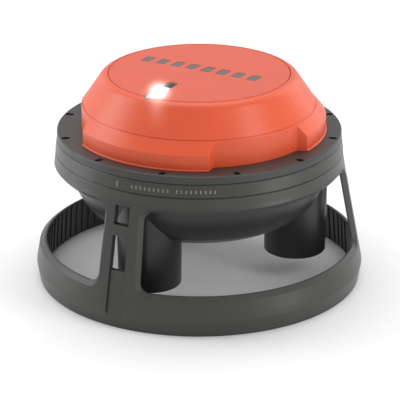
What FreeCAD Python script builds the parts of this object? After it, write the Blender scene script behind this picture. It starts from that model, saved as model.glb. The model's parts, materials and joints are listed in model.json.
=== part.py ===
"""Floating emergency position beacon: coral radome, dark hull with three pods, three-legged guard cage.

Millimetres, +Z up. The origin is the middle of the guard cage's foot, and the front leg faces -Y.
The legs and the pods stand at -90, 30 and 150 degrees. The dome's recesses lie between them.
"""
import FreeCAD, Part
import math
import os

os.makedirs("parts", exist_ok=True)

# ---- layout ----
LEG_ANGLES = {"front": -90.0, "right": 30.0, "left": 150.0}
RECESS_ANGLES = (-30.0, 90.0, 210.0)
SCREW_COUNT = 12
SCREW_START = 15.0
SCREW_PITCH_R = 124.4
HEAD_SUNK, HEAD_TALL = 4.2, 2.8
NOTCH_R, NOTCH_HALF, NOTCH_DEEP = 121.9, 2.6, 2.4

# ---- guard cage ----
FOOT_R = 147.5
FOOT_IN_R = 143.4
RING_MAX_R = 150.0
RING_MAX_Z = 14.5
RING_UP_R, RING_UP_Z = 149.4, 19.0
SILL_Z = 35.2
WALL = 5.4
COLLAR_Z = 105.9
CONE_TOP_R, CONE_TOP_Z = 131.3, 113.0
COLLAR_TOP_Z = 121.3
COLLAR_TOP_R = 130.6
COLLAR_IN_R = 117.2
LEG_HALF_DEG = 8.6
WINDOW_ROUND = 9.0
WINDOW_BEVEL = 3.8
CHANNEL_HALF_DEG = 3.15
CHANNEL_DEEP = 1.8
CHANNEL_LOW_Z = 9.7
SLOT_TOP = (91.4, 108.6)
SLOT_LOW = (51.2, 81.9)
RIB_DEEP = 1.1
RIB_HALF_DEG = 0.55
RIB_PITCH_DEG = 3.6
RIBS_PER_BAY = 26

# ---- hull ----
BAND_LOW_Z, BAND_TOP_Z = 121.5, 133.2
BAND_LOW_R, BAND_TOP_R = 130.6, 129.2
BAND_IN_R = 116.8
SPIGOT_R, SPIGOT_IN_R = 116.5, 113.0
HULL_FLANGE_R, HULL_FLANGE_Z = 121.2, 119.2
BOWL_FLOOR_Z = 61.5
HULL_WALL = 3.5
SEAM = 0.7
INSERT_R, INSERT_LOW_Z, INSERT_TOP_Z = 2.95, 109.2, 118.0

# ---- clamp ring and dome ----
CLAMP_R = 128.9
CLAMP_TOP_Z = 140.7
CLAMP_ROUND = 1.3
DOME_FLANGE_R = 121.2
DOME_FLANGE_TOP_Z = 137.2
LIP_R = 115.4
TAB_R = 114.5
TAB_TOP_Z = 154.2
CREASE_R, CREASE_Z = 105.3, 165.1
SHOULDER_R, SHOULDER_Z = 90.0, 187.6
SEAM_R, SEAM_Z = 82.2, 192.2
RECESS_R = 106.3
RECESS_IN_HALF, RECESS_OUT_HALF = 23.3, 26.0
RECESS_OUT_R = 115.0
TAB_ROUND = 0.7
DOME_WALL = 3.5
DISC_LEDGE_Z = 188.4
DISC_LEDGE_R = 74.0
DISC_CROWN = 0.5
DISC_GAP = 0.7

# ---- strobe ----
STROBE_IN = (-4.3, -42.5)
STROBE_OUT = (-3.0, -79.2)
STROBE_HALF = 5.7
STROBE_FLOOR_Z = 180.5
STROBE_STEP_Z = 188.2
STROBE_LENS_Y = -52.0
LAMP_X, LAMP_Y = -3.5, -64.5

# ---- mark ----
MARK_BARS = 8
MARK_BAR_WIDE, MARK_BAR_LONG, MARK_PITCH = 9.8, 14.6, 15.7
MARK_X, MARK_Y = -4.0, 9.0
MARK_DEEP = 0.7

# ---- pods ----
POD_CENTRE_R = 88.2
POD_R_TOP, POD_R_LOW = 29.2, 28.2
POD_WALL = 3.2
POD_LOW_Z = 21.3
POD_TOP_Z = 105.6
POD_LEAD_R = 1.6
POD_HOLE_R = 4.5

# ---- electronics levels ----
BOARD_Z = 143.0
BOARD_THICK = 1.6
LEAD_Z = BOARD_Z + BOARD_THICK + 2.6
LEAD_END_R = 57.0

# ---- rear controls ----
BUTTON_ANGLE = 103.0
PORT_ANGLE = 77.0
CONTROL_Z = 151.5
BUTTON_R = 7.0
BUTTON_FLANGE_R = 8.8
BUTTON_GAP = 0.3
BUTTON_PROUD = 2.0
COVER_WIDE, COVER_TALL, COVER_THICK = 24.0, 13.2, 2.6
PAD_FACE = 107.2
PIN_R = 1.0
PIN_Z = 160.6
PIN_OUT = 109.4
KNUCKLE_R = 2.1
KNUCKLE_HALF = 4.0


# ---------------------------------------------------------------- helpers

def vec(x, y, z):
    return FreeCAD.Vector(x, y, z)


AXIS = vec(0, 0, 1)
ORIGIN = vec(0, 0, 0)


def line(a, b):
    """A straight edge between two (radius, height) points."""
    return Part.LineSegment(vec(a[0], 0, a[1]), vec(b[0], 0, b[1])).toShape()


def arc(a, mid, b):
    """A round edge through three (radius, height) points."""
    return Part.Arc(vec(a[0], 0, a[1]), vec(mid[0], 0, mid[1]), vec(b[0], 0, b[1])).toShape()


def path(*items):
    """Edges through (radius, height) points. An item of three values, (r, z, "via"), bends the edge."""
    edges = []
    last = items[0]
    via = None
    for item in items[1:]:
        if len(item) == 3:
            via = item
            continue
        edges.append(arc(last, via, item) if via else line(last, item))
        last = item
        via = None
    return edges


def turned(*items):
    """Solid of revolution about Z, from an outline that closes on its first point."""
    wire = Part.Wire(path(*items, items[0]))
    return Part.Face(wire).revolve(ORIGIN, AXIS, 360)


def turned_sector(centre_deg, half_deg, *items):
    """The same outline, revolved over one sector only."""
    wire = Part.Wire(path(*items, items[0]))
    solid = Part.Face(wire).revolve(ORIGIN, AXIS, 2 * half_deg)
    return spin(solid, centre_deg - half_deg)


def ring(r_in, r_out, z0, z1):
    """Plain ring, or a disc where the inner radius is nought."""
    solid = Part.makeCylinder(r_out, z1 - z0, vec(0, 0, z0))
    if r_in > 0:
        solid = solid.cut(Part.makeCylinder(r_in, z1 - z0, vec(0, 0, z0)))
    return solid


def sector(centre_deg, half_deg, r0, r1, z0, z1):
    """Part of a ring between two radii, two heights and two radial planes."""
    return turned_sector(centre_deg, half_deg, (r0, z0), (r1, z0), (r1, z1), (r0, z1))


def spin(shape, degrees):
    """Copy turned about the Z axis."""
    copy = shape.copy()
    copy.rotate(ORIGIN, AXIS, degrees)
    return copy


def polar(radius, degrees, z=0.0):
    a = math.radians(degrees)
    return vec(radius * math.cos(a), radius * math.sin(a), z)


def block(x0, x1, y0, y1, z0, z1):
    return Part.makeBox(x1 - x0, y1 - y0, z1 - z0, vec(x0, y0, z0))


def post(radius, x, y, z0, z1):
    return Part.makeCylinder(radius, z1 - z0, vec(x, y, z0))


def rounded(shape, radius, pick):
    """Fillet on the edges that pick accepts."""
    return shape.makeFillet(radius, [edge for edge in shape.Edges if pick(edge)])


def save(name, *shapes):
    """Write one node. Several shapes become a group of separate solids."""
    solids = [solid for shape in shapes for solid in shape.Solids]
    for solid in solids:
        if not solid.isValid():
            print("invalid solid in", name)
    shape = solids[0] if len(solids) == 1 else Part.makeCompound(solids)
    shape.exportStep("parts/" + name + ".step")
    print("%-24s %3d solid(s) %10.1f mm3" % (name, len(solids), shape.Volume))


SCREW_ANGLES = [SCREW_START + 360.0 / SCREW_COUNT * k for k in range(SCREW_COUNT)]


def at_screws(radius, z0, z1):
    """One post at each flange screw."""
    posts = [Part.makeCylinder(radius, z1 - z0, polar(SCREW_PITCH_R, a, z0)) for a in SCREW_ANGLES]
    return Part.makeCompound(posts)


# ---------------------------------------------------------------- guard cage

def cage_wall_r(z):
    """Outer radius of the cage's sloping wall at height z."""
    t = (z - CONE_TOP_Z) / (RING_UP_Z - CONE_TOP_Z)
    return CONE_TOP_R + t * (RING_UP_R - CONE_TOP_R)


def cage_body():
    sill_in = cage_wall_r(SILL_Z) - WALL
    return turned(
        (FOOT_IN_R, 0), (FOOT_R, 0), (RING_MAX_R, RING_MAX_Z),
        (RING_UP_R, RING_UP_Z), (CONE_TOP_R, CONE_TOP_Z), (COLLAR_TOP_R, COLLAR_TOP_Z - SEAM),
        (COLLAR_TOP_R - SEAM, COLLAR_TOP_Z), (HULL_FLANGE_R + 0.15, COLLAR_TOP_Z),
        (HULL_FLANGE_R + 0.15, HULL_FLANGE_Z - 0.1), (COLLAR_IN_R, HULL_FLANGE_Z - 0.1),
        (COLLAR_IN_R, COLLAR_Z),
        (cage_wall_r(COLLAR_Z) - WALL, COLLAR_Z), (sill_in, SILL_Z), (sill_in + 0.2, SILL_Z - 3))


def cage_window(centre_deg):
    """Opening between two legs, with round corners on radial lines."""
    solid = sector(centre_deg, 60 - LEG_HALF_DEG, 90, 175, SILL_Z, COLLAR_Z)
    corner = [e for e in solid.Edges if abs(e.Length - 85) < 0.01]
    return solid.makeFillet(WINDOW_ROUND, corner)


def on_cage_wall(edge):
    """True for the window edges on the sloping outer wall, above the sill."""
    points = [edge.valueAt(edge.FirstParameter + s * (edge.LastParameter - edge.FirstParameter))
              for s in (0.0, 0.5, 1.0)]
    near = all(abs(math.hypot(p.x, p.y) - cage_wall_r(p.z)) < 0.05 for p in points)
    return near and all(SILL_Z - 0.1 < p.z < COLLAR_Z + 0.1 for p in points)


def leg_channel(centre_deg, z0, z1, deep):
    """Cutter for a strip of the leg's outer face, as deep as asked."""
    r0, r1 = cage_wall_r(z0), cage_wall_r(z1)
    return turned_sector(centre_deg, CHANNEL_HALF_DEG,
                         (r0 - deep, z0), (r0 + 30, z0), (r1 + 30, z1), (r1 - deep, z1))


def cage_ribs():
    """Upright ribs on the base ring's inner wall, in three bays that stop short of the legs."""
    sill_in = cage_wall_r(SILL_Z) - WALL
    rib = turned_sector(0, RIB_HALF_DEG, (FOOT_IN_R - RIB_DEEP, 1.5), (FOOT_IN_R + 1.0, 1.5),
                        (sill_in + 1.0, SILL_Z - 2.2), (sill_in - RIB_DEEP + 0.4, SILL_Z - 2.2))
    first = -0.5 * RIB_PITCH_DEG * (RIBS_PER_BAY - 1)
    return [spin(rib, bay + first + RIB_PITCH_DEG * k) for bay in RECESS_ANGLES
            for k in range(RIBS_PER_BAY)]


def make_cage():
    cage = cage_body()
    cage = cage.cut(Part.makeCompound([cage_window(a) for a in RECESS_ANGLES]))
    edges = [e for e in cage.Edges if on_cage_wall(e)]
    try:
        cage = cage.makeChamfer(WINDOW_BEVEL, edges)
    except Exception as problem:
        print("window bevel failed:", problem)
    cutters = []
    for angle in LEG_ANGLES.values():
        cutters.append(leg_channel(angle, CHANNEL_LOW_Z, SLOT_LOW[1], CHANNEL_DEEP))
        cutters.append(leg_channel(angle, SLOT_TOP[0], SLOT_TOP[1], CHANNEL_DEEP))
        cutters.append(sector(angle, CHANNEL_HALF_DEG, 100, 175, SLOT_LOW[0], SLOT_LOW[1]))
        cutters.append(sector(angle, CHANNEL_HALF_DEG, 100, 175, SLOT_TOP[0], SLOT_TOP[1]))
    cage = cage.cut(cutters)
    cage = cage.cut([at_screws(2.3, INSERT_TOP_Z - 0.5, COLLAR_TOP_Z + 1),
                     at_screws(INSERT_R + 0.05, INSERT_LOW_Z - 0.2, INSERT_TOP_Z + 0.1)])
    return cage.fuse(cage_ribs()).removeSplitter()


# ---------------------------------------------------------------- hull

def bowl_outline():
    """Outer outline of the bowl, from the collar down to the middle of its floor."""
    return [(SPIGOT_R, 100.0), (110.6, 83.8, "via"), (101.5, 70.8), (91.0, 64.2), (86.5, 62.2, "via"),
            (81.5, BOWL_FLOOR_Z), (0, BOWL_FLOOR_Z)]


def bowl_solid():
    """The bowl as if it were full, which the pods are trimmed to."""
    return turned((0, COLLAR_Z), (SPIGOT_R, COLLAR_Z), *bowl_outline())


def make_bowl():
    """Bowl and spigot in one piece, hung in the cage's collar by the flange at HULL_FLANGE_Z."""
    floor = BOWL_FLOOR_Z + HULL_WALL
    flange_top = BAND_LOW_Z - 0.1
    bowl = turned((0, BAND_TOP_Z), (SPIGOT_R, BAND_TOP_Z), (SPIGOT_R, flange_top),
                  (HULL_FLANGE_R, flange_top), (HULL_FLANGE_R, HULL_FLANGE_Z), (SPIGOT_R, HULL_FLANGE_Z),
                  *bowl_outline())
    inside = turned((0, floor), (81.0, floor), (89.1, 67.2), (98.9, 73.4), (107.3, 85.5, "via"),
                    (SPIGOT_IN_R, 101.0), (SPIGOT_IN_R, 150.0), (0, 150.0))
    holes = [Part.makeCylinder(POD_HOLE_R, 30, polar(POD_CENTRE_R, a, 55)) for a in LEG_ANGLES.values()]
    return bowl.cut([inside] + holes)


def make_band():
    band = turned((BAND_IN_R, BAND_LOW_Z), (BAND_LOW_R - SEAM, BAND_LOW_Z), (BAND_LOW_R, BAND_LOW_Z + SEAM),
                  (BAND_TOP_R, BAND_TOP_Z - SEAM), (BAND_TOP_R - SEAM, BAND_TOP_Z), (BAND_IN_R, BAND_TOP_Z))
    return band.cut([ring(117.8, 120.4, BAND_TOP_Z - 2.0, BAND_TOP_Z + 1), at_screws(2.3, 120, 135)])


# ---------------------------------------------------------------- pods

def pod_outer():
    """A pod's tapered outside, which ends just under the cage's collar."""
    height = POD_TOP_Z - POD_LOW_Z
    return Part.makeCone(POD_R_LOW, POD_R_TOP, height, vec(POD_CENTRE_R, 0, POD_LOW_Z))


def make_pod():
    """Tube at angle nought that fits the bowl's underside, with a land for its end window."""
    tube = rounded(pod_outer(), 1.2, lambda e: abs(e.BoundBox.ZMax - POD_LOW_Z) < 0.01)
    bore = post(POD_R_LOW - POD_WALL, POD_CENTRE_R, 0, POD_LOW_Z + 8, POD_TOP_Z + 1)
    mouth = post(POD_R_LOW - 2.2, POD_CENTRE_R, 0, POD_LOW_Z - 1, POD_LOW_Z + 8.5)
    land = post(POD_R_LOW - 6.0, POD_CENTRE_R, 0, POD_LOW_Z + 7, 100)
    return tube.cut([bore, mouth]).fuse(
        post(POD_R_LOW - POD_WALL + 0.5, POD_CENTRE_R, 0, POD_LOW_Z + 8.5, POD_LOW_Z + 11).cut(land)
    ).removeSplitter().cut(bowl_solid())


def make_pod_window():
    window = post(POD_R_LOW - 2.3, POD_CENTRE_R, 0, POD_LOW_Z + 0.6, POD_LOW_Z + 8.3)
    groove = post(POD_R_LOW - 1, POD_CENTRE_R, 0, POD_LOW_Z + 4, POD_LOW_Z + 6)
    groove = groove.cut(post(POD_R_LOW - 4.3, POD_CENTRE_R, 0, POD_LOW_Z + 4, POD_LOW_Z + 6))
    window = rounded(window, 1.0, lambda e: abs(e.BoundBox.ZMax - POD_LOW_Z - 0.6) < 0.01)
    return window.cut(groove)


def make_pod_seal():
    seal = post(POD_R_LOW - 2.25, POD_CENTRE_R, 0, POD_LOW_Z + 4.1, POD_LOW_Z + 5.9)
    return seal.cut(post(POD_R_LOW - 4.25, POD_CENTRE_R, 0, POD_LOW_Z + 4.1, POD_LOW_Z + 5.9))


def make_pod_piezo():
    """Disc transducer standing on the window."""
    return post(20.0, POD_CENTRE_R, 0, POD_LOW_Z + 8.4, POD_LOW_Z + 18.4)


def make_pod_lead():
    """Lead from the disc straight up into the hull, then one bend in to the main board's edge."""
    start = vec(POD_CENTRE_R, 0, POD_LOW_Z + 18.4)
    bend = 16.0
    high = LEAD_Z
    centre = vec(POD_CENTRE_R - bend, 0, high - bend)
    top = vec(POD_CENTRE_R, 0, high - bend)
    mid = centre + vec(bend * math.cos(math.pi / 4), 0, bend * math.sin(math.pi / 4))
    end = centre + vec(0, 0, bend)
    wire = Part.Wire([Part.LineSegment(start, top).toShape(), Part.Arc(top, mid, end).toShape(),
                      Part.LineSegment(end, vec(LEAD_END_R, 0, high)).toShape()])
    face = Part.Face(Part.Wire(Part.makeCircle(POD_LEAD_R, start, AXIS)))
    lead = wire.makePipeShell([face.OuterWire], True, False)
    length = wire.Length
    print("lead volume ratio %.4f" % (lead.Volume / (math.pi * POD_LEAD_R ** 2 * length)))
    return lead


# ---------------------------------------------------------------- dome

def dome_solid():
    """The dome and the top disc as one full body, without recesses."""
    return turned((0, BAND_TOP_Z), (DOME_FLANGE_R, BAND_TOP_Z), (DOME_FLANGE_R, DOME_FLANGE_TOP_Z),
                  (LIP_R, DOME_FLANGE_TOP_Z), (LIP_R, CLAMP_TOP_Z + 0.4), (TAB_R, CLAMP_TOP_Z + 1.1),
                  (TAB_R, TAB_TOP_Z), (CREASE_R + 0.34, CREASE_Z - 0.4), (CREASE_R - 0.14, CREASE_Z - 0.76),
                  (CREASE_R - 0.78, CREASE_Z + 0.09), (CREASE_R - 0.3, CREASE_Z + 0.45),
                  (SHOULDER_R, SHOULDER_Z), (86.7, 190.7, "via"), (SEAM_R, SEAM_Z), (0, SEAM_Z + DISC_CROWN))


def dome_inside():
    """Space under the dome, with the recesses' walls left standing."""
    full = turned((0, 130), (TAB_R - DOME_WALL, 130), (TAB_R - DOME_WALL, TAB_TOP_Z - 1.5),
                  (SHOULDER_R - 4.5, SHOULDER_Z - 2.6), (DISC_LEDGE_R, SHOULDER_Z - 2.6),
                  (DISC_LEDGE_R, 200), (0, 200))
    walls = [sector(a, RECESS_OUT_HALF + 1.0, RECESS_R - DOME_WALL, 140, 129, CREASE_Z - 4)
             for a in RECESS_ANGLES]
    return full.cut(walls)


def disc_seat():
    return ring(0, SEAM_R, DISC_LEDGE_Z, 200)


def recess_wedge(centre_deg, gap, z0, z1):
    """Prism between the two straight end walls of a recess, which open outwards, drawn in by a gap."""
    near = polar(RECESS_R, RECESS_IN_HALF)
    along = (polar(RECESS_OUT_R, RECESS_OUT_HALF) - near).normalize()
    near = near + vec(along.y, -along.x, 0) * gap
    low, high = near - along * 6.0, near + along * 60.0
    corners = [(low.x, low.y), (high.x, high.y), (high.x, -high.y), (low.x, -low.y), (low.x, low.y)]
    wire = Part.makePolygon([vec(x, y, z0) for x, y in corners])
    return spin(Part.Face(wire).extrude(vec(0, 0, z1 - z0)), centre_deg)


def on_tab_edge(edge):
    """True for the tabs' upright corners and the sloping edges above them."""
    a, b = edge.valueAt(edge.FirstParameter), edge.valueAt(edge.LastParameter)
    near, far = sorted(math.hypot(p.x, p.y) for p in (a, b))
    if abs(far - TAB_R) > 0.05 or abs(a.z - b.z) < 4 or abs(a.y) < 1:
        return False
    return abs(near - TAB_R) < 0.05 or RECESS_R - 0.1 < near < RECESS_R + 2.5


def recess(centre_deg):
    """Cutter for one recess, with round corners at its back."""
    high = CREASE_Z + 6
    cutter = recess_wedge(centre_deg, 0, DOME_FLANGE_TOP_Z, high)
    cutter = cutter.common(ring(RECESS_R, 150, DOME_FLANGE_TOP_Z, high))
    inner = [e for e in cutter.Edges if abs(e.Length - (high - DOME_FLANGE_TOP_Z)) < 0.01
             and abs(math.hypot(e.CenterOfMass.x, e.CenterOfMass.y) - RECESS_R) < 0.1]
    return cutter.makeFillet(1.5, inner)


def strobe_plan(inset, z0, z1):
    """Upright prism of the strobe's outline: a slot with parallel sides and two round ends."""
    inner, outer = vec(STROBE_IN[0], STROBE_IN[1], z0), vec(STROBE_OUT[0], STROBE_OUT[1], z0)
    along = (outer - inner).normalize() * (STROBE_HALF - inset)
    side = vec(-along.y, along.x, 0)
    wire = Part.Wire([Part.Arc(inner + side, inner - along, inner - side).toShape(),
                      Part.LineSegment(inner - side, outer - side).toShape(),
                      Part.Arc(outer - side, outer + along, outer + side).toShape(),
                      Part.LineSegment(outer + side, inner + side).toShape()])
    return Part.Face(wire).extrude(vec(0, 0, z1 - z0))


def beyond(y):
    """Everything from a Y value outwards, over the strobe's height."""
    return block(-40, 40, STROBE_OUT[1] - 15, y, 170, 210)


def local_bore(radius, r0, r1, angle, z):
    """Cylinder that lies along the radial direction at an angle and height."""
    return Part.makeCylinder(radius, r1 - r0, polar(r0, angle, z), polar(1, angle))


def port_block(x0, x1, half, z0, z1):
    """Box at the charge port's angle, x along the radial direction."""
    return spin(block(x0, x1, -half, half, z0, z1), PORT_ANGLE)


def dome_port_pad():
    """Flat pad for the port, and the two hinge lugs above it."""
    pad = port_block(RECESS_R - 3.2, PAD_FACE, COVER_WIDE / 2 + 1.5, CONTROL_Z - 8.5, PIN_Z + 1.0)
    lugs = []
    for side in (-1, 1):
        y0 = side * (KNUCKLE_HALF + 0.3)
        y1 = side * (KNUCKLE_HALF + 4.3)
        lug = block(PAD_FACE - 2, PIN_OUT, min(y0, y1), max(y0, y1), PIN_Z - KNUCKLE_R, PIN_Z + KNUCKLE_R)
        eye = Part.makeCylinder(KNUCKLE_R, 4.0, vec(PIN_OUT, min(y0, y1), PIN_Z), vec(0, 1, 0))
        lugs.append(spin(lug.fuse(eye), PORT_ANGLE))
    return pad, lugs


def hinge_bore(radius, half):
    return spin(Part.makeCylinder(radius, 2 * half, vec(PIN_OUT, -half, PIN_Z), vec(0, 1, 0)), PORT_ANGLE)


def make_dome():
    dome = dome_solid().cut([recess(a) for a in RECESS_ANGLES])
    dome = rounded(dome, TAB_ROUND, on_tab_edge)
    pad, lugs = dome_port_pad()
    dome = dome.fuse([pad] + lugs).cut(dome_inside())
    cuts = [disc_seat(), strobe_plan(0, STROBE_FLOOR_Z, 210),
            local_bore(BUTTON_R + BUTTON_GAP, 95, 125, BUTTON_ANGLE, CONTROL_Z),
            port_block(95, 125, 7.1, CONTROL_Z - 3.6, CONTROL_Z + 3.6), hinge_bore(PIN_R, 9)]
    return dome.cut(cuts).removeSplitter()


def make_disc():
    disc = dome_solid().common(ring(0, SEAM_R - DISC_GAP, DISC_LEDGE_Z, 200))
    pockets = mark_bars(0.12, SEAM_Z - MARK_DEEP + DISC_CROWN, 200)
    return disc.cut([strobe_plan(0, STROBE_FLOOR_Z, 210)] + pockets)


def mark_bars(grow, z0, z1):
    """Row of plain round-ended bars, each grown by a little to make its pocket."""
    bars = []
    for k in range(MARK_BARS):
        x = MARK_X + MARK_PITCH * (k - 0.5 * (MARK_BARS - 1))
        half_w = 0.5 * MARK_BAR_WIDE + grow
        half_l = 0.5 * MARK_BAR_LONG + grow
        bar = block(x - half_w, x + half_w, MARK_Y - half_l, MARK_Y + half_l, z0, z1)
        bars.append(rounded(bar, 2.4, lambda e: abs(e.Length - (z1 - z0)) < 1e-6))
    return bars


def make_mark():
    low = SEAM_Z - MARK_DEEP + DISC_CROWN
    return [dome_solid().common(bar) for bar in mark_bars(0, low, low + 0.35)]


def make_clamp():
    """Clamp ring whose inner edge follows the dome: wide lands in the recesses, cut back at the tabs."""
    lip_gap = 0.3
    inner = RECESS_R + lip_gap
    body = turned((DOME_FLANGE_R + lip_gap, BAND_TOP_Z), (CLAMP_R - SEAM - 0.2, BAND_TOP_Z),
                  (CLAMP_R, BAND_TOP_Z + SEAM), (CLAMP_R, CLAMP_TOP_Z - CLAMP_ROUND),
                  (CLAMP_R - 0.293 * CLAMP_ROUND, CLAMP_TOP_Z - 0.293 * CLAMP_ROUND, "via"),
                  (CLAMP_R - CLAMP_ROUND, CLAMP_TOP_Z),
                  (inner, CLAMP_TOP_Z), (inner, DOME_FLANGE_TOP_Z),
                  (DOME_FLANGE_R + lip_gap, DOME_FLANGE_TOP_Z))
    tabs = ring(90, LIP_R + lip_gap, 130, 145)
    tabs = tabs.cut([recess_wedge(a, lip_gap, 129, 146) for a in RECESS_ANGLES])
    low = CLAMP_TOP_Z - NOTCH_DEEP
    notch = block(NOTCH_R, SCREW_PITCH_R, -NOTCH_HALF, NOTCH_HALF, low, 145)
    notch = notch.fuse(post(NOTCH_HALF, NOTCH_R, 0, low, 145))
    notches = [spin(notch, a) for a in SCREW_ANGLES]
    return body.cut([tabs, at_screws(2.3, 130, 145), at_screws(2.9, CLAMP_TOP_Z - HEAD_SUNK, 145)] + notches)


def make_flange_screws():
    """Socket-head screws that clamp the dome, band and hull flange down on the cage's collar."""
    top = CLAMP_TOP_Z - HEAD_SUNK + HEAD_TALL
    head = ring(0, 2.65, CLAMP_TOP_Z - HEAD_SUNK, top)
    shank = ring(0, 2.0, INSERT_LOW_Z + 0.8, CLAMP_TOP_Z - HEAD_SUNK + 0.5)
    circle = [vec(1.45 * math.cos(math.radians(60 * k)), 1.45 * math.sin(math.radians(60 * k)), 0)
              for k in range(7)]
    socket = Part.Face(Part.makePolygon(circle)).extrude(vec(0, 0, 2.0))
    socket.translate(vec(0, 0, top - 1.7))
    screw = head.fuse(shank).removeSplitter().cut(socket)
    screw.translate(vec(SCREW_PITCH_R, 0, 0))
    return [spin(screw, a) for a in SCREW_ANGLES]


def make_inserts():
    """Threaded brass inserts moulded into the cage's collar."""
    insert = post(INSERT_R, SCREW_PITCH_R, 0, INSERT_LOW_Z, INSERT_TOP_Z)
    insert = insert.cut(post(2.02, SCREW_PITCH_R, 0, INSERT_LOW_Z - 1, INSERT_TOP_Z + 1))
    return [spin(insert, a) for a in SCREW_ANGLES]


# ---------------------------------------------------------------- strobe

def make_strobe_well():
    """Dark tray let into the disc and shoulder: shallow at its inner end, deep under the lens' ledge."""
    plug = dome_solid().common(strobe_plan(0.15, STROBE_FLOOR_Z + 0.1, 210))
    plug = plug.cut(ring(0, 200, SEAM_Z - 0.4, 210))
    inner = strobe_plan(1.2, STROBE_STEP_Z, 210)
    seat = strobe_plan(1.2, STROBE_STEP_Z - 1.0, 210).common(beyond(STROBE_LENS_Y))
    deep = strobe_plan(1.9, STROBE_FLOOR_Z + 1.6, 210).common(beyond(STROBE_LENS_Y - 0.8))
    return plug.cut([inner, seat, deep])


def make_strobe_lens():
    """Clear window on the well's ledge, flush with the disc and the shoulder."""
    lens = dome_solid().common(strobe_plan(1.35, STROBE_STEP_Z - 1.0, 210))
    return lens.common(beyond(STROBE_LENS_Y - 0.2)).cut(ring(0, 200, SEAM_Z + 0.1, 210))


def make_strobe_board():
    low = STROBE_FLOOR_Z + 1.6
    return strobe_plan(2.2, low, low + 1.2).common(beyond(STROBE_LENS_Y - 3.0))


def make_strobe_lamp():
    """Lamp chip on its carrier."""
    z0 = STROBE_FLOOR_Z + 2.8
    base = block(LAMP_X - 2.7, LAMP_X + 2.7, LAMP_Y - 3.5, LAMP_Y + 3.5, z0, z0 + 1.0)
    return base.fuse(Part.makeCone(2.5, 1.9, 1.6, vec(LAMP_X, LAMP_Y, z0 + 1.0)))


# ---------------------------------------------------------------- power pack and electronics

CELL_R, CELL_LOW, CELL_TOP = 10.4, 71.0, 133.0
CELL_RINGS = ((0, 1, 0.0), (25.0, 6, 0.0), (48.5, 12, 15.0))
TRAY_R = 63.0
PLATE_Z = 133.4


def cell_centres():
    return [polar(r, start + 360.0 / n * k) for r, n, start in CELL_RINGS for k in range(n)]


def make_cells():
    cells = []
    for c in cell_centres():
        can = post(CELL_R, c.x, c.y, CELL_LOW, CELL_TOP - 1.2)
        cells.append(can.fuse(post(3.0, c.x, c.y, CELL_TOP - 1.2, CELL_TOP)).removeSplitter())
    return cells


def make_tray():
    tray = ring(0, TRAY_R, 69.2, 77.0)
    return tray.cut([post(CELL_R + 0.3, c.x, c.y, CELL_LOW, 80) for c in cell_centres()])


def make_retainer():
    """Plate over the cells, on three feet that stand on the tray."""
    plate = ring(0, TRAY_R, PLATE_Z, PLATE_Z + 2.6)
    vents = [post(3.2, c.x, c.y, PLATE_Z - 1, PLATE_Z + 4) for c in cell_centres()]
    feet = [Part.makeCylinder(2.2, PLATE_Z - 77.0, polar(60.6, 60 + 120 * k, 77.0)) for k in range(3)]
    return plate.cut(vents).fuse(feet).removeSplitter()


def make_board():
    """Round main board on four standoffs."""
    holes = [Part.makeCylinder(1.7, 5, polar(56.5, 45 + 90 * k, BOARD_Z - 1)) for k in range(4)]
    return ring(0, 62.0, BOARD_Z, BOARD_Z + BOARD_THICK).cut(holes)


def make_standoffs():
    low = PLATE_Z + 2.6
    return [Part.makeCylinder(3.0, BOARD_Z - low, polar(56.5, 45 + 90 * k, low)) for k in range(4)]


def make_connectors():
    """Socket on the main board for each pod's lead."""
    low = BOARD_Z + BOARD_THICK
    return [spin(block(LEAD_END_R - 7, LEAD_END_R, -4, 4, low, low + 5.2), a) for a in LEG_ANGLES.values()]


def make_board_screws():
    screws = []
    for k in range(4):
        head = Part.makeCylinder(2.8, 2.0, polar(56.5, 45 + 90 * k, BOARD_Z + 1.6))
        slot = spin(block(56.5 - 2.2, 56.5 + 2.2, -0.4, 0.4, BOARD_Z + 2.6, BOARD_Z + 4), 45 + 90 * k)
        shank = Part.makeCylinder(1.6, 1.6, polar(56.5, 45 + 90 * k, BOARD_Z))
        screws.append(head.cut(slot).fuse(shank).removeSplitter())
    return screws


def make_antenna():
    """Ceramic patch on its ground plate, held up on a foam block."""
    ground = block(-24, 24, -8, 40, 168.0, 169.2)
    patch = block(-17.5, 17.5, -1.5, 33.5, 169.2, 173.2)
    return rounded(patch, 2.0, lambda e: abs(e.Length - 4.0) < 1e-6), ground


def make_antenna_block():
    return block(-20, 20, -4, 36, BOARD_Z + 1.6, 168.0)


def make_radio():
    can = block(-16, 16, -46, -18, BOARD_Z + 1.6, BOARD_Z + 7.2)
    return rounded(can, 1.0, lambda e: e.BoundBox.ZMin > BOARD_Z + 7.1)


def make_float_ring():
    """Closed-cell foam ring inside the hull wall, clear of the three leads."""
    return turned((94.0, 77.0), (100.0, 77.0), (106.4, 86.5), (111.9, 101.5), (SPIGOT_IN_R - 0.6, 104.0),
                  (SPIGOT_IN_R - 0.6, 130.0), (94.0, 130.0))


def make_ballast():
    floor = BOWL_FLOOR_Z + HULL_WALL
    return ring(0, 60.0, floor, floor + 4.0)


# ---------------------------------------------------------------- rear controls

def make_button():
    """Push button: outer cap, stem through the dome's wall, and a flange that stops it coming out."""
    face = RECESS_R + BUTTON_PROUD
    cap = local_bore(BUTTON_R, 98.5, face, BUTTON_ANGLE, CONTROL_Z)
    cap = rounded(cap, 0.8, lambda e: e.Curve.TypeId == "Part::GeomCircle"
                  and math.hypot(e.CenterOfMass.x, e.CenterOfMass.y) > face - 0.1)
    flange = local_bore(BUTTON_FLANGE_R, 98.5, 100.3, BUTTON_ANGLE, CONTROL_Z)
    nub = local_bore(2.0, 96.9, 98.6, BUTTON_ANGLE, CONTROL_Z)
    return cap.fuse([flange, nub]).removeSplitter()


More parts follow.
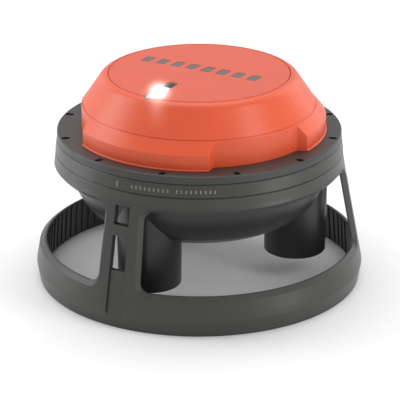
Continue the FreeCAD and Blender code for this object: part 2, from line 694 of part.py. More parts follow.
def make_button_seal():
    """Rubber ring between the button's flange and the dome's wall."""
    outer = local_bore(9.6, 100.6, 101.9, BUTTON_ANGLE, CONTROL_Z)
    return outer.cut(local_bore(BUTTON_R + BUTTON_GAP, 99, 104, BUTTON_ANGLE, CONTROL_Z))


def make_switch():
    """Tactile switch on its small board behind the button."""
    body = spin(block(91.5, 95.0, -3.5, 3.5, CONTROL_Z - 3.5, CONTROL_Z + 3.5), BUTTON_ANGLE)
    return body.fuse(local_bore(1.6, 94.5, 95.5, BUTTON_ANGLE, CONTROL_Z)).removeSplitter()


def make_switch_board():
    return spin(block(90.0, 91.5, -10, 10, CONTROL_Z - 8, CONTROL_Z + 8), BUTTON_ANGLE)


def make_port():
    """Sealed charge socket with a rear body and a pin bed."""
    shell = port_block(97.0, PAD_FACE - 0.3, 7.0, CONTROL_Z - 3.5, CONTROL_Z + 3.5)
    mouth = port_block(101.5, PAD_FACE + 1, 5.6, CONTROL_Z - 2.3, CONTROL_Z + 2.3)
    tongue = port_block(101.0, PAD_FACE - 1.2, 4.2, CONTROL_Z - 0.7, CONTROL_Z + 0.7)
    return shell.cut(mouth).fuse(tongue).removeSplitter()


def make_cover():
    """Flap over the charge socket, with one knuckle that the hinge pin runs through."""
    x0 = PAD_FACE + 0.3
    low = CONTROL_Z - 6.6
    plate = block(x0, x0 + COVER_THICK, -COVER_WIDE / 2, COVER_WIDE / 2, low, low + COVER_TALL)
    plate = rounded(plate, 2.5, lambda e: abs(e.Length - COVER_THICK) < 1e-6)
    pull = block(x0 + COVER_THICK - 0.3, x0 + COVER_THICK + 1.1, -5, 5, low + 0.8, low + 2.4)
    plug = block(x0 - 1.2, x0 + 0.5, -5.0, 5.0, CONTROL_Z - 1.9, CONTROL_Z + 1.9)
    arm = block(x0, x0 + COVER_THICK, -KNUCKLE_HALF, KNUCKLE_HALF, low + COVER_TALL - 1, PIN_Z)
    eye = Part.makeCylinder(KNUCKLE_R, 2 * KNUCKLE_HALF, vec(PIN_OUT, -KNUCKLE_HALF, PIN_Z), vec(0, 1, 0))
    cover = plate.fuse([pull, plug, arm, eye]).removeSplitter()
    return spin(cover, PORT_ANGLE).cut(hinge_bore(PIN_R + 0.08, 12))


def make_pin():
    return hinge_bore(PIN_R, KNUCKLE_HALF + 4.3)


# ---------------------------------------------------------------- write every node

save("guard_cage", make_cage())
save("hull_bowl", make_bowl())
save("housing_band", make_band())
save("clamp_ring", make_clamp())
save("flange_screws", *make_flange_screws())
save("screw_inserts", *make_inserts())
save("dome_gasket", ring(117.9, 120.3, BAND_TOP_Z - 2.0, BAND_TOP_Z))
save("dome_shell", make_dome())
save("top_disc", make_disc())
save("mark_inlay", *make_mark())
save("strobe_well", make_strobe_well())
save("strobe_lens", make_strobe_lens())
save("strobe_board", make_strobe_board())
save("strobe_lamp", make_strobe_lamp())

POD_PIECES = {"housing": make_pod(), "window": make_pod_window(), "seal": make_pod_seal(),
              "piezo": make_pod_piezo(), "lead": make_pod_lead()}
for side, angle in LEG_ANGLES.items():
    for piece, shape in POD_PIECES.items():
        save("pod_%s_%s" % (piece, side), spin(shape, angle))

save("ballast_plate", make_ballast())
save("battery_tray", make_tray())
save("battery_cells", *make_cells())
save("battery_retainer", make_retainer())
save("board_standoffs", *make_standoffs())
save("main_board", make_board())
save("board_screws", *make_board_screws())
save("lead_connectors", *make_connectors())
save("radio_module", make_radio())
save("antenna_block", make_antenna_block())
save("antenna_patch", *make_antenna())
save("float_ring", make_float_ring())
save("power_button", make_button())
save("button_seal", make_button_seal())
save("button_switch", make_switch())
save("switch_board", make_switch_board())
save("charge_port", make_port())
save("charge_cover", make_cover())
save("cover_hinge_pin", make_pin())
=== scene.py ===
"""Floating position beacon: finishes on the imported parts, fine moulded details, studio and camera."""
import json
import math

import bpy
import numpy as np
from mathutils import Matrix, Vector


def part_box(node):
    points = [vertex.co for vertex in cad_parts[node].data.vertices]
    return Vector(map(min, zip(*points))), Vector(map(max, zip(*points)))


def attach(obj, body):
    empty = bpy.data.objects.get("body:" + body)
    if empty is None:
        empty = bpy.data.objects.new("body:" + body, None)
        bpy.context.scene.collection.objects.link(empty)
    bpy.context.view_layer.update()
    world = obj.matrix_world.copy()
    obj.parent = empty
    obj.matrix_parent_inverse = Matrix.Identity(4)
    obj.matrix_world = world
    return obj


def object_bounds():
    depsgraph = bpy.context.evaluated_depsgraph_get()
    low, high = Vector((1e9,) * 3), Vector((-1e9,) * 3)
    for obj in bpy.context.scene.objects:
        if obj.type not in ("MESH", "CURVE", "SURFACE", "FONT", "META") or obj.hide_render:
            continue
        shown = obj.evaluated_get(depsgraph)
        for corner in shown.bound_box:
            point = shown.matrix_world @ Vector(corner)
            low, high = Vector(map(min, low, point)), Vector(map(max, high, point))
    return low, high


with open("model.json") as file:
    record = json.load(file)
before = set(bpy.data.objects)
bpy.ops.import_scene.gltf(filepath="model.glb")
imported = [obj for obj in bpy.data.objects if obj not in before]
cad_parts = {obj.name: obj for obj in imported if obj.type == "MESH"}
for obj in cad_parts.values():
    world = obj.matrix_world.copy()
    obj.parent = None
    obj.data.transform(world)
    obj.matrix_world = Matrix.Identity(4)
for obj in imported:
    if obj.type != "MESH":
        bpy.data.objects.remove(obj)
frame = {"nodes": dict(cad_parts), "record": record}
cad_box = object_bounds()
NODES = frame["nodes"]
MM = 0.001


# ------------------------------------------------------------------ shader maths

class Sock:
    """A shader socket that grows Math nodes when it is used in an expression."""

    def __init__(self, finish, out):
        self.finish = finish
        self.out = out

    def math(self, operation, *others, swap=False):
        values = (self, *others)[::-1] if swap else (self, *others)
        return self.finish.node("Math", {"operation": operation}, dict(enumerate(values)))

    def __add__(self, other):
        return self.math("ADD", other)

    __radd__ = __add__

    def __mul__(self, other):
        return self.math("MULTIPLY", other)

    __rmul__ = __mul__

    def __sub__(self, other):
        return self.math("SUBTRACT", other)

    def __rsub__(self, other):
        return self.math("SUBTRACT", other, swap=True)

    def __truediv__(self, other):
        return self.math("DIVIDE", other)

    def __gt__(self, other):
        return self.math("GREATER_THAN", other)

    def __lt__(self, other):
        return self.math("LESS_THAN", other)


class Finish:
    """A material with one Principled shader, and a short way to add any other node."""

    def __init__(self, name, color, roughness, **uniform):
        self.material = bpy.data.materials.new(name)
        self.material.use_nodes = True
        self.nodes = self.material.node_tree.nodes
        self.links = self.material.node_tree.links
        self.shader = self.nodes["Principled BSDF"]
        self.shader.inputs["Base Color"].default_value = (*color, 1.0)
        self.shader.inputs["Roughness"].default_value = roughness
        for key, value in uniform.items():
            self.shader.inputs[key.replace("_", " ")].default_value = value
        self.material.diffuse_color = (*color, 1.0)

    def feed(self, socket, value):
        """Links a socket to an input, or sets a plain value on it."""
        if isinstance(value, Sock):
            self.links.new(value.out, socket)
        else:
            socket.default_value = value

    def node(self, kind, settings=None, inputs=None, output=0):
        """Any node: its settings are set first, then its sockets. One output comes back, or the list of
        them all when output is None."""
        node = self.nodes.new("ShaderNode" + kind)
        for key, value in (settings or {}).items():
            setattr(node, key, value)
        for key, value in (inputs or {}).items():
            self.feed(node.inputs[key], value)
        if output is None:
            return [Sock(self, out) for out in node.outputs]
        return Sock(self, node.outputs[output])

    def place(self):
        """Object coordinates, in metres."""
        return self.node("TexCoord", output="Object")

    def axes(self):
        """The x, y and z of the object coordinates."""
        return self.node("SeparateXYZ", None, {0: self.place()}, None)

    def noise(self, scale, detail=2.0, rough=0.5):
        return self.node("TexNoise", None, {"Vector": self.place(), "Scale": scale, "Detail": detail,
                                            "Roughness": rough})

    def voronoi(self, scale):
        return self.node("TexVoronoi", None, {"Vector": self.place(), "Scale": scale})

    def mix(self, factor, a, b):
        """Blend of two colours, given as (r, g, b) or as sockets."""
        a, b = (value if isinstance(value, Sock) else (*value, 1.0) for value in (a, b))
        return self.node("Mix", {"data_type": "RGBA"}, {0: factor, 6: a, 7: b}, 2)

    def color(self, value):
        self.feed(self.shader.inputs["Base Color"], value)

    def rough(self, value):
        self.feed(self.shader.inputs["Roughness"], value)

    def glow(self, lamp, reach, turn):
        """How strongly the painted glow round a lamp shows, from one to nought: exp(-(u / a)^2 - (v /
        b)^2).
        The ways u and v are x and y from the lamp, turned by an angle, and a and b are the reach along
        each. It is nought below a given height."""
        x, y, z = self.axes()
        dx, dy = x - lamp[0], y - lamp[1]
        u = (dx * math.cos(turn) + dy * math.sin(turn)) / reach[0]
        v = (dy * math.cos(turn) - dx * math.sin(turn)) / reach[1]
        return (0.0 - (u * u + v * v)).math("EXPONENT") * (z > GLOW_FLOOR_Z)

    def painted_spill(self, lamp, reach, turn, strength, dark=(0.0, 0.0, 0.0)):
        """Painted light round a lamp: the surface itself glows white near the lamp, and fades to the dark
        colour away from it.
        """
        glow = self.glow(lamp, reach, turn)
        self.feed(self.shader.inputs["Emission Color"], self.mix(glow, dark, (1.0, 0.96, 0.93)))
        self.shader.inputs["Emission Strength"].default_value = strength

    def bump(self, height, strength, distance):
        """Bump from a height in nought to one, as deep as distance in metres."""
        out = self.node("Bump", None, {"Height": height, "Strength": strength, "Distance": distance})
        self.feed(self.shader.inputs["Normal"], out)


def moulded(name, color, roughness, grain=1400.0, depth=0.00004, spread=0.10, **uniform):
    """Moulded plastic: fine spark-eroded grain, slow mottling of the tone, and rubbed patches."""
    finish = Finish(name, color, roughness, **uniform)
    slow = finish.noise(38.0, 3.0)
    fine = finish.noise(grain, 2.0, 0.6)
    lighter = tuple(min(1.0, c * (1.0 + spread) + 0.004) for c in color)
    darker = tuple(c * (1.0 - spread) for c in color)
    finish.color(finish.mix(slow, darker, lighter))
    rubbed = finish.noise(210.0, 4.0, 0.65)
    finish.rough(roughness - 0.05 + 0.10 * rubbed + 0.03 * slow)
    finish.bump(fine, 0.35, depth)
    return finish


def rubber(name, color, roughness):
    """Moulded rubber: matt, with a soft bloom and a pebbled skin."""
    finish = Finish(name, color, roughness)
    bloom = finish.noise(90.0, 4.0, 0.6)
    finish.color(finish.mix(bloom, color, tuple(c + 0.02 for c in color)))
    finish.rough(roughness - 0.06 + 0.12 * bloom)
    finish.bump(finish.voronoi(2200.0), 0.3, 0.00003)
    return finish


def metal(name, color, roughness, lay=(1.0, 1.0, 30.0)):
    """Worked metal: fine scratches along one direction, and a slightly uneven tone."""
    finish = Finish(name, color, roughness, Metallic=1.0)
    stretched = finish.node("Mapping", {"vector_type": "POINT"}, {"Vector": finish.place(), "Scale": lay})
    scratch = finish.node("TexNoise", None, {"Vector": stretched, "Scale": 900.0, "Detail": 2.0})
    cloud = finish.noise(120.0, 3.0)
    finish.color(finish.mix(cloud, tuple(c * 0.88 for c in color), color))
    finish.rough(roughness - 0.08 + 0.16 * scratch)
    finish.bump(scratch, 0.15, 0.00002)
    return finish


def circuit_board(name):
    """Solder mask over straight tracks, with small tinned vias."""
    green = (0.010, 0.105, 0.045)
    track = (0.022, 0.190, 0.080)
    tin = (0.62, 0.60, 0.52)
    finish = Finish(name, green, 0.32)
    x, y, z = finish.axes()
    weave = (x * 2600.0).math("SINE") * (y * 2100.0 + 2.0 * finish.noise(60.0)).math("SINE")
    via = finish.voronoi(420.0) < 0.16
    finish.color(finish.mix(via, finish.mix(weave > 0.35, green, track), tin))
    finish.rough(0.34 - 0.10 * via)
    finish.bump(weave > 0.35, 0.3, 0.00004)
    return finish


def foam(name, color):
    """Closed-cell foam: small round cells, matt."""
    finish = Finish(name, color, 0.92)
    cell = finish.voronoi(700.0)
    finish.color(finish.mix(cell, tuple(c * 1.15 for c in color), tuple(c * 0.7 for c in color)))
    finish.rough(0.85 + 0.10 * cell)
    finish.bump(cell, 0.6, 0.0002)
    return finish


def fired_ceramic(name, color):
    """Fired ceramic: fine speckle under a thin sheen."""
    finish = Finish(name, color, 0.45)
    speck = finish.voronoi(900.0) < 0.25
    finish.color(finish.mix(speck, color, tuple(c * 0.72 for c in color)))
    finish.rough(0.42 + 0.08 * finish.noise(200.0))
    return finish


def cell_sleeve(name):
    """Shrink sleeve on the cells: a tinted film with a pale band, and bare metal at the top."""
    sleeve, pale, bare = (0.05, 0.20, 0.34), (0.55, 0.60, 0.62), (0.70, 0.70, 0.71)
    finish = Finish(name, sleeve, 0.3)
    x, y, z = finish.axes()
    band = (z > 0.118) * (z < 0.123)
    top = z > 0.1305
    finish.color(finish.mix(top, finish.mix(band, sleeve, pale), bare))
    finish.rough(0.28 + 0.08 * finish.noise(150.0))
    finish.bump(finish.noise(500.0), 0.2, 0.00005)
    return finish


def slot_tray(name):
    """Tray in the slot: grey inside, with painted shade, near black, along its top edge where the slot's
    walls are in shadow.
    """
    finish = Finish(name, (0.17, 0.165, 0.15), 0.46)
    x, y, z = finish.axes()
    # Painted shade: above the given height the tray is near black, standing in for the shadowed walls of
    # the slot.
    finish.color(finish.mix(z > PAINTED_SHADE_Z, (0.17, 0.165, 0.15), (0.016, 0.012, 0.010)))
    finish.rough(0.42 + 0.08 * finish.noise(300.0))
    finish.bump(finish.noise(1500.0), 0.35, 0.00004)
    return finish


def clear_lens(name):
    """Clear lens over a pale tray: a smooth face, with slight haze."""
    finish = Finish(name, (0.34, 0.34, 0.34), 0.12, Transmission_Weight=0.35, IOR=1.46)
    haze = finish.noise(400.0)
    finish.color(finish.mix(haze, (0.30, 0.30, 0.295), (0.38, 0.38, 0.37)))
    finish.rough(0.10 + 0.06 * haze)
    return finish


def lamp_chip(name):
    """The lamp's phosphor, lit."""
    finish = Finish(name, (0.95, 0.94, 0.86), 0.4)
    grain = finish.noise(1500.0)
    finish.color(finish.mix(grain, (0.95, 0.94, 0.86), (0.92, 0.86, 0.60)))
    finish.shader.inputs["Emission Color"].default_value = (1.0, 0.98, 0.93, 1.0)
    finish.shader.inputs["Emission Strength"].default_value = 6.0
    return finish


LAMP_LOW, LAMP_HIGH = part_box("strobe_lamp")
LAMP = 0.5 * (Vector(LAMP_LOW) + Vector(LAMP_HIGH))
# Reach, turn, strength and lowest height of the painted glow round the lamp.
GLOW_REACH = (0.0066, 0.0172)
GLOW_TURN = math.radians(30.0)
GLOW_STRENGTH = 2.3
GLOW_FLOOR_Z = 0.17
# Height above which the slot's tray takes the painted shade.
PAINTED_SHADE_Z = 0.1918

FINISHES = {
    "coral_plastic": moulded("coral_plastic", (0.68, 0.082, 0.024), 0.33, 1500.0, 0.00003, 0.05),
    "disc_plastic": moulded("disc_plastic", (0.64, 0.084, 0.036), 0.36, 1500.0, 0.00003, 0.05),
    "cage_plastic": moulded("cage_plastic", (0.034, 0.0335, 0.031), 0.36, 1100.0, 0.00006, 0.12),
    "hull_plastic": moulded("hull_plastic", (0.014, 0.014, 0.0135), 0.36, 1500.0, 0.00004, 0.10),
    "band_plastic": moulded("band_plastic", (0.034, 0.0335, 0.031), 0.35, 1100.0, 0.00005, 0.10),
    "clamp_plastic": moulded("clamp_plastic", (0.030, 0.0295, 0.028), 0.42, 1100.0, 0.00005, 0.10),
    "pod_plastic": moulded("pod_plastic", (0.014, 0.014, 0.0135), 0.34, 1500.0, 0.00004, 0.10),
    "well_plastic": slot_tray("well_plastic"),
    "mark_grey": moulded("mark_grey", (0.15, 0.105, 0.09), 0.50, 1500.0, 0.00003, 0.10),
    "tray_plastic": moulded("tray_plastic", (0.10, 0.10, 0.11), 0.50),
    "connector_white": moulded("connector_white", (0.72, 0.71, 0.66), 0.45),
    "switch_black": moulded("switch_black", (0.03, 0.03, 0.03), 0.45),
    "port_black": moulded("port_black", (0.028, 0.028, 0.030), 0.38),
    "cover_plastic": moulded("cover_plastic", (0.042, 0.043, 0.043), 0.46),
    "seal_rubber": rubber("seal_rubber", (0.025, 0.025, 0.025), 0.62),
    "button_plastic": rubber("button_plastic", (0.040, 0.040, 0.041), 0.60),
    "window_rubber": rubber("window_rubber", (0.035, 0.035, 0.036), 0.55),
    "lead_jacket": rubber("lead_jacket", (0.06, 0.06, 0.065), 0.55),
    "screw_steel": metal("screw_steel", (0.06, 0.06, 0.062), 0.42, (12.0, 12.0, 1.0)),
    "insert_brass": metal("insert_brass", (0.72, 0.52, 0.24), 0.35, (1.0, 1.0, 14.0)),
    "ballast_steel": metal("ballast_steel", (0.46, 0.47, 0.48), 0.40, (14.0, 1.0, 1.0)),
    "can_steel": metal("can_steel", (0.62, 0.63, 0.64), 0.30, (14.0, 1.0, 1.0)),
    "pin_steel": metal("pin_steel", (0.60, 0.60, 0.61), 0.28, (1.0, 1.0, 14.0)),
    "board_green": circuit_board("board_green"),
    "foam_grey": foam("foam_grey", (0.26, 0.27, 0.28)),
    "patch_ceramic": fired_ceramic("patch_ceramic", (0.66, 0.59, 0.44)),
    "piezo_ceramic": fired_ceramic("piezo_ceramic", (0.74, 0.68, 0.52)),
    "cell_sleeve": cell_sleeve("cell_sleeve"),
    "lens_clear": clear_lens("lens_clear"),
    "lamp_white": lamp_chip("lamp_white"),
}

# Painted light: the coral, the top disc and the slot's tray are made to glow white round the lamp,
# standing in for the lamp's light falling on them.
for lit in ("disc_plastic", "coral_plastic", "well_plastic"):
    FINISHES[lit].painted_spill(LAMP, GLOW_REACH, GLOW_TURN, GLOW_STRENGTH)
# Painted light on the lens as well: white near the lamp, and a faint glow from its dark colour all over
# the rest.
FINISHES["lens_clear"].painted_spill(LAMP, GLOW_REACH, GLOW_TURN, GLOW_STRENGTH, (0.055, 0.052, 0.048))

for entry in frame["record"]["subparts"]:
    slots = NODES[entry["node"]].data.materials
    slots.clear()
    slots.append(FINISHES[entry["material_slot"]].material)


# ------------------------------------------------------------------ mesh helpers

def new_piece(name, points, faces, finish, body="beacon", smooth=True):
    """A mesh object from an (n, 3) array of metres and an (m, 4) array of corner numbers."""
    mesh = bpy.data.meshes.new(name)
    mesh.vertices.add(len(points))
    mesh.vertices.foreach_set("co", np.asarray(points, np.float32).ravel())
    faces = np.asarray(faces, np.int32)
    mesh.loops.add(faces.size)
    mesh.loops.foreach_set("vertex_index", faces.ravel())
    mesh.polygons.add(len(faces))
    mesh.polygons.foreach_set("loop_start", np.arange(len(faces), dtype=np.int32) * faces.shape[1])
    mesh.polygons.foreach_set("use_smooth", np.full(len(faces), smooth))
    mesh.update()
    mesh.validate()
    mesh.materials.append(finish.material)
    piece = bpy.data.objects.new(name, mesh)
    bpy.context.scene.collection.objects.link(piece)
    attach(piece, body)
    return piece


def closed_grid(rows, columns):
    """Faces of a grid that closes on itself in both directions, as a ring of closed sections does."""
    i, j = np.meshgrid(np.arange(rows), np.arange(columns), indexing="ij")
    i2, j2 = (i + 1) % rows, (j + 1) % columns
    corners = [i * columns + j, i2 * columns + j, i2 * columns + j2, i * columns + j2]
    return np.stack(corners, -1).reshape(-1, 4)


def open_tube(sections):
    """Tube through an (n, m, 3) array of sections, with both ends closed by strips of quads (m even)."""
    rows, m = sections.shape[:2]
    i, j = np.meshgrid(np.arange(rows - 1), np.arange(m), indexing="ij")
    j2 = (j + 1) % m
    walls = np.stack([i * m + j, (i + 1) * m + j, (i + 1) * m + j2, i * m + j2], -1).reshape(-1, 4)
    k = np.arange(m // 2 - 1)
    cap = np.stack([k, k + 1, m - 2 - k, m - 1 - k], -1)
    return sections.reshape(-1, 3), np.concatenate([walls, cap, cap[:, ::-1] + (rows - 1) * m])


def bead_arc(radius, height, half_wide, half_tall, start, end, steps=360, sides=10):
    """Bead of oval section from angle start to end, in radians: r = radius + half_wide cos v and
    z = height + half_tall sin v, turned by u."""
    u = np.linspace(start, end, steps)[:, None]
    v = np.linspace(0, 2 * np.pi, sides, endpoint=False)[None, :]
    r = radius + half_wide * np.cos(v)
    return open_tube(np.stack([r * np.cos(u), r * np.sin(u), height + half_tall * np.sin(v) + 0 * u], -1))


def ring_on(centre, out, radius, half_wide, half_tall, steps=64, sides=8):
    """Ring of oval section whose axis is the unit vector out: a point is
    centre + out h + r (a cos u + b sin u), with r = radius + half_wide cos v and h = half_tall sin v,
    where a, b and out are at right angles."""
    out = np.asarray(out, float)
    a = np.cross([0.0, 0.0, 1.0], out) if abs(out[2]) < 0.9 else np.array([1.0, 0.0, 0.0])
    a = a / np.linalg.norm(a)
    b = np.cross(out, a)
    u = np.linspace(0, 2 * np.pi, steps, endpoint=False)[:, None, None]
    v = np.linspace(0, 2 * np.pi, sides, endpoint=False)[None, :, None]
    r = radius + half_wide * np.cos(v)
    points = np.asarray(centre, float) + out * half_tall * np.sin(v) + r * (a * np.cos(u) + b * np.sin(u))
    return points.reshape(-1, 3), closed_grid(steps, sides)


def joined(shapes):
    """Several (points, faces) pairs as one, with the later faces' corner numbers moved along."""
    starts = np.cumsum([0] + [len(points) for points, faces in shapes[:-1]])
    return (np.concatenate([points for points, faces in shapes]),
            np.concatenate([faces + start for (points, faces), start in zip(shapes, starts)]))


BOX_FACES = np.array([[0, 3, 2, 1], [4, 5, 6, 7], [0, 1, 5, 4], [1, 2, 6, 5], [2, 3, 7, 6], [3, 0, 4, 7]])


def many_boxes(corners):
    """Boxes given as an (n, 8, 3) array of corners: the low four anticlockwise, then the high four."""
    n = len(corners)
    return corners.reshape(-1, 3), (BOX_FACES[None] + 8 * np.arange(n)[:, None, None]).reshape(-1, 4)


def wall_boxes(angles, half_deg, z0, z1, radius_at, inset, proud):
    """Thin boxes on a wall of revolution: corners at angle +- half_deg, between z0 and z1 (arrays), and
    between radius_at(z) - inset and radius_at(z) + proud."""
    angles = np.radians(np.asarray(angles, float))
    half = np.radians(half_deg)
    z0 = np.broadcast_to(np.asarray(z0, float), angles.shape)
    z1 = np.broadcast_to(np.asarray(z1, float), angles.shape)
    corners = []
    for z in (z0, z1):
        for side, depth in ((-1, -inset), (-1, proud), (1, proud), (1, -inset)):
            r = radius_at(z) + depth
            a = angles + side * half
            corners.append(np.stack([r * np.cos(a), r * np.sin(a), z], -1))
    return many_boxes(np.stack(corners, 1))


# ------------------------------------------------------------------ fine details

BAND_TAPER = 1.3 * MM


def band_radius(z):
    """Outer radius of the housing band at height z: its foot's radius, less a taper that grows with z."""
    low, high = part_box("housing_band")
    return high.x - BAND_TAPER * (z - low.z) / (high.z - low.z)


TICK_MIDDLE_Z = 127.2 * MM
TICK_HALF_TALL, LONG_TICK_HALF_TALL = 1.5 * MM, 2.6 * MM
TICK_HALF_DEG = 0.26
TICK_SUNK, TICK_PROUD = 0.2 * MM, 0.07 * MM
LONG_TICK_DEG = -93.0
TICKS_LEFT = np.linspace(-122.0, -105.0, 10)
TICKS_RIGHT = np.concatenate([[LONG_TICK_DEG], np.linspace(-86.5, -72.0, 9), np.linspace(-68.5, -54.0, 9)])
TICK_PAINT = moulded("tick_paint", (0.20, 0.20, 0.195), 0.5, 900.0, 0.00002, 0.2)
# The left row of marks gets a darker paint than the right row, so it stands out less from the band.
TICK_PAINT_FAINT = moulded("tick_paint_faint", (0.11, 0.11, 0.108), 0.5, 900.0, 0.00002, 0.3)


def make_band_ticks(name, angles, finish):
    """A row of short painted marks round the front of the band, with one longer mark in it or none."""
    tall = np.where(angles == LONG_TICK_DEG, LONG_TICK_HALF_TALL, TICK_HALF_TALL)
    points, faces = wall_boxes(angles, TICK_HALF_DEG, TICK_MIDDLE_Z - tall, TICK_MIDDLE_Z + tall,
                               band_radius, TICK_SUNK, TICK_PROUD)
    new_piece(name, points, faces, finish, smooth=False)


make_band_ticks("band_ticks_left", TICKS_LEFT, TICK_PAINT_FAINT)
make_band_ticks("band_ticks_right", TICKS_RIGHT, TICK_PAINT)

BEAD_OUT, BEAD_DOWN = 1.25 * MM, 0.72 * MM
BEAD_HALF_WIDE, BEAD_HALF_TALL = 0.5 * MM, 0.38 * MM
SLOT_END = (-3.0 * MM, -82.2 * MM)
SLOT_HALF = 5.2 * MM


def make_disc_bead():
    """Raised bead where the dome meets the top disc, left open where the lamp's slot crosses it."""
    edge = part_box("top_disc")[1]
    middle = math.atan2(SLOT_END[1], SLOT_END[0])
    half = SLOT_HALF / -SLOT_END[1]
    points, faces = bead_arc(edge.x + BEAD_OUT, edge.z - BEAD_DOWN, BEAD_HALF_WIDE, BEAD_HALF_TALL,
                             middle + half, middle - half + 2 * math.pi)
    new_piece("disc_bead", points, faces, FINISHES["coral_plastic"])


make_disc_bead()


def radial(degrees):
    """Unit vector straight out from the axis at an angle."""
    a = math.radians(degrees)
    return np.array([math.cos(a), math.sin(a), 0.0])


UP = np.array([0.0, 0.0, 1.0])

BUTTON_DEG, BUTTON_FACE_R, BUTTON_Z = 103.0, 108.3 * MM, 151.5 * MM
BUTTON_RING_RADII = (1.6, 3.3, 5.0)
BUTTON_RING_HALF_WIDE, BUTTON_RING_HALF_TALL = 0.32 * MM, 0.28 * MM


def make_button_rings():
    """Three raised rings round the middle of the power button's face."""
    out = radial(BUTTON_DEG)
    centre = BUTTON_FACE_R * out + BUTTON_Z * UP
    rings = [ring_on(centre, out, radius * MM, BUTTON_RING_HALF_WIDE, BUTTON_RING_HALF_TALL)
             for radius in BUTTON_RING_RADII]
    points, faces = joined(rings)
    new_piece("button_rings", points, faces, FINISHES["button_plastic"], "power_button")


make_button_rings()

COVER_DEG, COVER_FACE_R = 77.0, 110.1 * MM
RIB_LOW_Z = np.array([147.6, 149.0, 150.4, 151.8, 153.2]) * MM
RIB_TALL, RIB_HALF_LONG = 0.55 * MM, 8.0 * MM
RIB_SUNK, RIB_PROUD = 0.2 * MM, 0.35 * MM


def make_cover_ribs():
    """Five grip ribs across the lower half of the charge cover: boxes on its flat face."""
    out = radial(COVER_DEG)
    along = np.cross(UP, out)
    corners = [(COVER_FACE_R + depth) * out + side * RIB_HALF_LONG * along + z[:, None] * UP
               for z in (RIB_LOW_Z, RIB_LOW_Z + RIB_TALL)
               for side, depth in ((-1, -RIB_SUNK), (-1, RIB_PROUD), (1, RIB_PROUD), (1, -RIB_SUNK))]
    points, faces = many_boxes(np.stack(corners, 1))
    new_piece("cover_ribs", points, faces, FINISHES["cover_plastic"], "charge_cover",
              smooth=False)


make_cover_ribs()

POD_SIDES = ("front", "right", "left")
WINDOW_RING_RADII = (12.0, 20.5)
WINDOW_RING_HALF_WIDE, WINDOW_RING_HALF_TALL = 0.5 * MM, 0.4 * MM


def make_window_rings():
    """Two moulded rings on the face of each pod's window."""
    shapes = []
    for side in POD_SIDES:
        low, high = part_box("pod_window_" + side)
        centre = (0.5 * (low.x + high.x), 0.5 * (low.y + high.y), low.z)
        shapes += [ring_on(centre, UP, radius * MM, WINDOW_RING_HALF_WIDE, WINDOW_RING_HALF_TALL, 96)
                   for radius in WINDOW_RING_RADII]
    points, faces = joined(shapes)
    new_piece("window_rings", points, faces, FINISHES["window_rubber"])


make_window_rings()


# ------------------------------------------------------------------ studio and camera

FLOOR_HALF, FLOOR_DOWN = 6.0, 0.2 * MM


def make_floor():
    """Plain pale floor, just under the part."""
    corners = np.array([[-1, -1, 0], [1, -1, 0], [1, 1, 0], [-1, 1, 0]]) * FLOOR_HALF
    mesh = bpy.data.meshes.new("floor")
    mesh.from_pydata(corners.tolist(), [], [[0, 1, 2, 3]])
    finish = Finish("floor_pale", (0.90, 0.90, 0.898), 0.6)
    shade = finish.noise(3.0)
    finish.color(finish.mix(shade, (0.89, 0.89, 0.888), (0.91, 0.91, 0.908)))
    mesh.materials.append(finish.material)
    floor = bpy.data.objects.new("floor", mesh)
    floor.location.z = -FLOOR_DOWN
    bpy.context.scene.collection.objects.link(floor)


def aimed(obj, location, target):
    """Puts a lamp or a camera at a place, turned to face a target, and adds it to the scene."""
    obj.location = location
    obj.rotation_euler = (Vector(target) - Vector(location)).to_track_quat("-Z", "Y").to_euler()
    bpy.context.scene.collection.objects.link(obj)


def seen_from(azimuth, elevation, distance, target):
    """Point at a distance from the target, where azimuth 0 looks along +Y."""
    a, e = math.radians(azimuth), math.radians(elevation)
    way = Vector((math.sin(a) * math.cos(e), -math.cos(a) * math.cos(e), math.sin(e)))
    return Vector(target) + distance * way


LIGHT_AIM = (0.0, 0.0, 0.10)


def soft_box(name, azimuth, elevation, distance, wide, tall, watts):
    """White rectangular light that faces the part."""
    light = bpy.data.lights.new(name, "AREA")
    light.shape = "RECTANGLE"
    light.size = wide
    light.size_y = tall
    light.energy = watts
    aimed(bpy.data.objects.new(name, light), seen_from(azimuth, elevation, distance, LIGHT_AIM), LIGHT_AIM)


CAMERA_AZIMUTH, CAMERA_ELEVATION, CAMERA_DISTANCE = 30.0, 21.53, 1.968
CAMERA_AIM = (0.0, 0.0, 78.7 * MM)
CAMERA_SENSOR, CAMERA_LENS = 36.0, 193.2
CAMERA_SHIFT = (0.0018, -0.026)


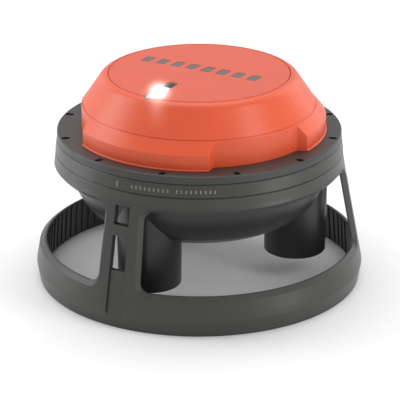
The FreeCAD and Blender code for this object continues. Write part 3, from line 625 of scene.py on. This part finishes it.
def make_camera():
    """Long lens on the front right of the part, a little above it."""
    camera = bpy.data.cameras.new("camera")
    camera.sensor_width = CAMERA_SENSOR
    camera.lens = CAMERA_LENS
    camera.shift_x, camera.shift_y = CAMERA_SHIFT
    camera.clip_end = 50.0
    obj = bpy.data.objects.new("camera", camera)
    aimed(obj, seen_from(CAMERA_AZIMUTH, CAMERA_ELEVATION, CAMERA_DISTANCE, CAMERA_AIM), CAMERA_AIM)
    bpy.context.scene.camera = obj


SOFT_BOXES = (
    # name, azimuth from the camera's, elevation, distance, wide, tall, watts
    ("left_box", -100, 16, 1.0, 0.45, 1.2, 5.4),
    ("right_box", 58, 16, 1.1, 0.40, 1.2, 5.8),
    ("left_rear_box", -138, 26, 1.3, 0.8, 1.0, 1.4),
    ("right_rear_box", 132, 26, 1.3, 0.8, 1.0, 2.4),
    ("top_box", 180, 74, 1.5, 1.4, 1.0, 8.4),
)
WORLD_LIGHT = 0.68
STROBE_LIGHT = 0.0006
STROBE_LIGHT_RADIUS, STROBE_LIGHT_UP = 3.0 * MM, 6.0 * MM


def make_studio():
    """Even white surroundings, five soft boxes, and a faint light over the part's own lamp."""
    world = bpy.data.worlds.new("studio")
    world.use_nodes = True
    background = world.node_tree.nodes["Background"]
    background.inputs["Color"].default_value = (1.0, 1.0, 1.0, 1.0)
    background.inputs["Strength"].default_value = WORLD_LIGHT
    bpy.context.scene.world = world
    for name, azimuth, elevation, distance, wide, tall, watts in SOFT_BOXES:
        soft_box(name, CAMERA_AZIMUTH + azimuth, elevation, distance, wide, tall, watts)
    glow = bpy.data.lights.new("strobe_glow", "POINT")
    glow.energy = STROBE_LIGHT
    glow.shadow_soft_size = STROBE_LIGHT_RADIUS
    obj = bpy.data.objects.new("strobe_glow", glow)
    obj.location = (LAMP.x, LAMP.y, cad_box[1][2] + STROBE_LIGHT_UP)
    obj.visible_camera = False
    bpy.context.scene.collection.objects.link(obj)
    bpy.context.scene.view_settings.view_transform = "Standard"


make_floor()
make_camera()
make_studio()
